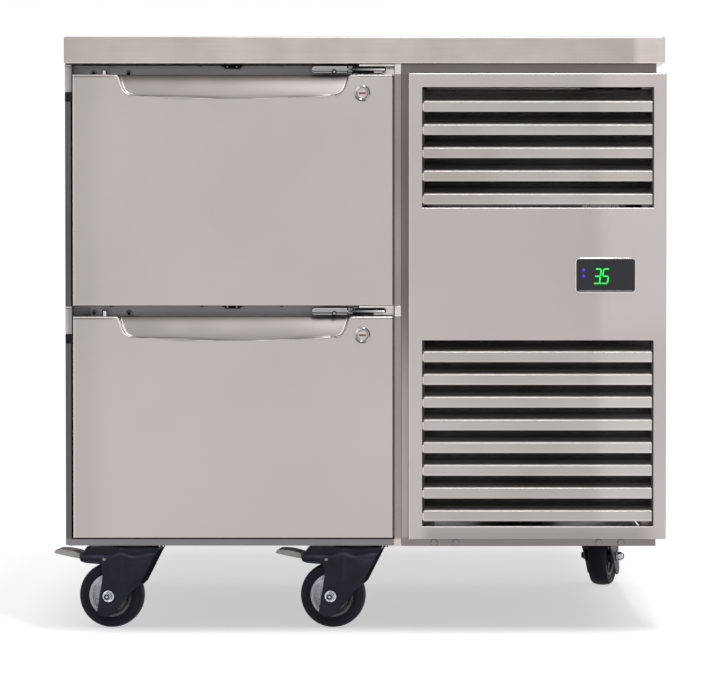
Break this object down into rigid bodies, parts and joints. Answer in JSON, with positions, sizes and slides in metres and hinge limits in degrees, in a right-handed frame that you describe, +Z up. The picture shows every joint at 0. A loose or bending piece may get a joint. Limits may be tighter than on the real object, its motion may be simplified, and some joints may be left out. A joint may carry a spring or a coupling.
{
  "type": "underbench drawer refrigerator",
  "caption": "Stainless underbench refrigerator on castors: stacked pull-out insulated drawers with finger scoops and locks, beside a louvred condensing unit with a digital controller.",
  "frame": {"origin": "on the floor, below the centre of the whole object's bounding box", "axes": "+Z up; the drawers and the louvred cover face -Y; +X is to the right as seen from the front"},
  "size_m": [0.9303, 0.7015, 0.9],
  "materials": {
    "stainless": "brushed stainless sheet, vertical grain",
    "frame_steel": "stainless sheet, in shade",
    "zinc": "zinc plated",
    "chrome": "polished chrome",
    "foam": "rigid foam",
    "liner": "smooth food-safe sheet",
    "gasket": "matt dark grey elastomer",
    "black_plastic": "satin black",
    "display": "glossy dark charcoal",
    "fins": "bare fins",
    "black_paint": "satin black paint",
    "fork_paint": "satin blue-black paint",
    "tyre": "smooth dark tread",
    "wheel": "satin grey nylon",
    "pedal": "satin grey"
  },
  "bodies": {
    "cabinet": {"worktop": "stainless", "outer_case": "stainless", "insulation": "foam", "inner_liner": "liner", "face_frame": "frame_steel", "bay_frame": "stainless", "side_panel": "stainless", "back_panel": "stainless", "base_pan": "frame_steel", "cover_panel": "stainless", "louvre_upper": "stainless", "louvre_lower": "stainless", "controller": "display", "condenser": "fins", "fan_shroud": "black_paint", "compressor": "black_paint", "evaporator_box": "foam", "evaporator_coil": "fins", "door_switch_upper": "black_plastic", "door_switch_lower": "black_plastic", "lock_catch_upper": "chrome", "lock_catch_lower": "chrome", "runner_outer_upper_left": "zinc", "runner_outer_upper_right": "zinc", "runner_outer_lower_left": "zinc", "runner_outer_lower_right": "zinc", "castor_plate_front_left": "black_paint", "castor_plate_front_middle": "black_paint", "castor_plate_rear_left": "black_paint", "castor_plate_rear_right": "black_paint"},
    "drawer_upper": {"drawer_front_upper": "stainless", "drawer_frame_upper": "stainless", "gasket_upper": "gasket", "lock_barrel_upper": "chrome"},
    "runners_upper": {"runner_middle_upper_left": "zinc", "runner_middle_upper_right": "zinc"},
    "lock_upper": {"lock_rotor_upper": "chrome"},
    "drawer_lower": {"drawer_front_lower": "stainless", "drawer_frame_lower": "stainless", "gasket_lower": "gasket", "lock_barrel_lower": "chrome"},
    "runners_lower": {"runner_middle_lower_left": "zinc", "runner_middle_lower_right": "zinc"},
    "lock_lower": {"lock_rotor_lower": "chrome"},
    "fork_front_left": {"castor_fork_front_left": "fork_paint"},
    "wheel_front_left": {"wheel_centre_front_left": "wheel", "tyre_front_left": "tyre"},
    "fork_front_middle": {"castor_fork_front_middle": "fork_paint"},
    "wheel_front_middle": {"wheel_centre_front_middle": "wheel", "tyre_front_middle": "tyre"},
    "fork_rear_left": {"castor_fork_rear_left": "fork_paint"},
    "wheel_rear_left": {"wheel_centre_rear_left": "wheel", "tyre_rear_left": "tyre"},
    "fork_rear_right": {"castor_fork_rear_right": "fork_paint"},
    "wheel_rear_right": {"wheel_centre_rear_right": "wheel", "tyre_rear_right": "tyre"},
    "pedal_front_left": {"brake_pedal_front_left": "pedal"},
    "pedal_front_middle": {"brake_pedal_front_middle": "pedal"},
    "condenser_fan": {"condenser_fan": "black_plastic"},
    "evaporator_fan": {"evaporator_fan": "black_plastic"}
  },
  "joints": [
    {"name": "drawer_upper_slide", "type": "slide", "parent": "cabinet", "child": "drawer_upper", "axis": [0, -1, 0], "range_m": [0, 0.5]},
    {"name": "runners_upper_slide", "type": "slide", "parent": "cabinet", "child": "runners_upper", "axis": [0, -1, 0], "range_m": [0, 0.25]},
    {"name": "lock_upper_turn", "type": "hinge", "parent": "drawer_upper", "child": "lock_upper", "pos_m": [0.0095, -0.34422, 0.816], "axis": [0, 1, 0], "range_deg": [0, 90]},
    {"name": "drawer_lower_slide", "type": "slide", "parent": "cabinet", "child": "drawer_lower", "axis": [0, -1, 0], "range_m": [0, 0.5]},
    {"name": "runners_lower_slide", "type": "slide", "parent": "cabinet", "child": "runners_lower", "axis": [0, -1, 0], "range_m": [0, 0.25]},
    {"name": "lock_lower_turn", "type": "hinge", "parent": "drawer_lower", "child": "lock_lower", "pos_m": [0.0095, -0.34422, 0.4532], "axis": [0, 1, 0], "range_deg": [0, 90]},
    {"name": "swivel_front_left", "type": "hinge", "parent": "cabinet", "child": "fork_front_left", "pos_m": [-0.3377, -0.24222, 0.128], "axis": [0, 0, 1], "continuous": true},
    {"name": "roll_front_left", "type": "hinge", "parent": "fork_front_left", "child": "wheel_front_left", "pos_m": [-0.37622, -0.23612, 0.05], "axis": [-0.1564, -0.9877, 0], "continuous": true},
    {"name": "brake_front_left", "type": "hinge", "parent": "fork_front_left", "child": "pedal_front_left", "pos_m": [-0.38283, -0.23507, 0.107], "axis": [-0.1564, -0.9877, 0], "range_deg": [0, 15]},
    {"name": "swivel_front_middle", "type": "hinge", "parent": "cabinet", "child": "fork_front_middle", "pos_m": [0.0023, -0.24222, 0.128], "axis": [0, 0, 1], "continuous": true},
    {"name": "roll_front_middle", "type": "hinge", "parent": "fork_front_middle", "child": "wheel_front_middle", "pos_m": [-0.03622, -0.23612, 0.05], "axis": [-0.1564, -0.9877, 0], "continuous": true},
    {"name": "brake_front_middle", "type": "hinge", "parent": "fork_front_middle", "child": "pedal_front_middle", "pos_m": [-0.04283, -0.23507, 0.107], "axis": [-0.1564, -0.9877, 0], "range_deg": [0, 15]},
    {"name": "swivel_rear_left", "type": "hinge", "parent": "cabinet", "child": "fork_rear_left", "pos_m": [-0.3922, 0.25978, 0.128], "axis": [0, 0, 1], "continuous": true},
    {"name": "roll_rear_left", "type": "hinge", "parent": "fork_rear_left", "child": "wheel_rear_left", "pos_m": [-0.40031, 0.29793, 0.05], "axis": [-0.9781, -0.2079, 0], "continuous": true},
    {"name": "swivel_rear_right", "type": "hinge", "parent": "cabinet", "child": "fork_rear_right", "pos_m": [0.4045, 0.25978, 0.128], "axis": [0, 0, 1], "continuous": true},
    {"name": "roll_rear_right", "type": "hinge", "parent": "fork_rear_right", "child": "wheel_rear_right", "pos_m": [0.41591, 0.29707, 0.05], "axis": [-0.9563, 0.2924, 0], "continuous": true},
    {"name": "condenser_fan_spin", "type": "hinge", "parent": "cabinet", "child": "condenser_fan", "pos_m": [0.2592, -0.21552, 0.6907], "axis": [0, 1, 0], "continuous": true},
    {"name": "evaporator_fan_spin", "type": "hinge", "parent": "cabinet", "child": "evaporator_fan", "pos_m": [0.13425, 0.20378, 0.7607], "axis": [0, 0, 1], "continuous": true}
  ],
  "couplings": [
    {"joint": "runners_upper_slide", "follows": "drawer_upper_slide", "ratio": 0.5},
    {"joint": "runners_lower_slide", "follows": "drawer_lower_slide", "ratio": 0.5}
  ]
}
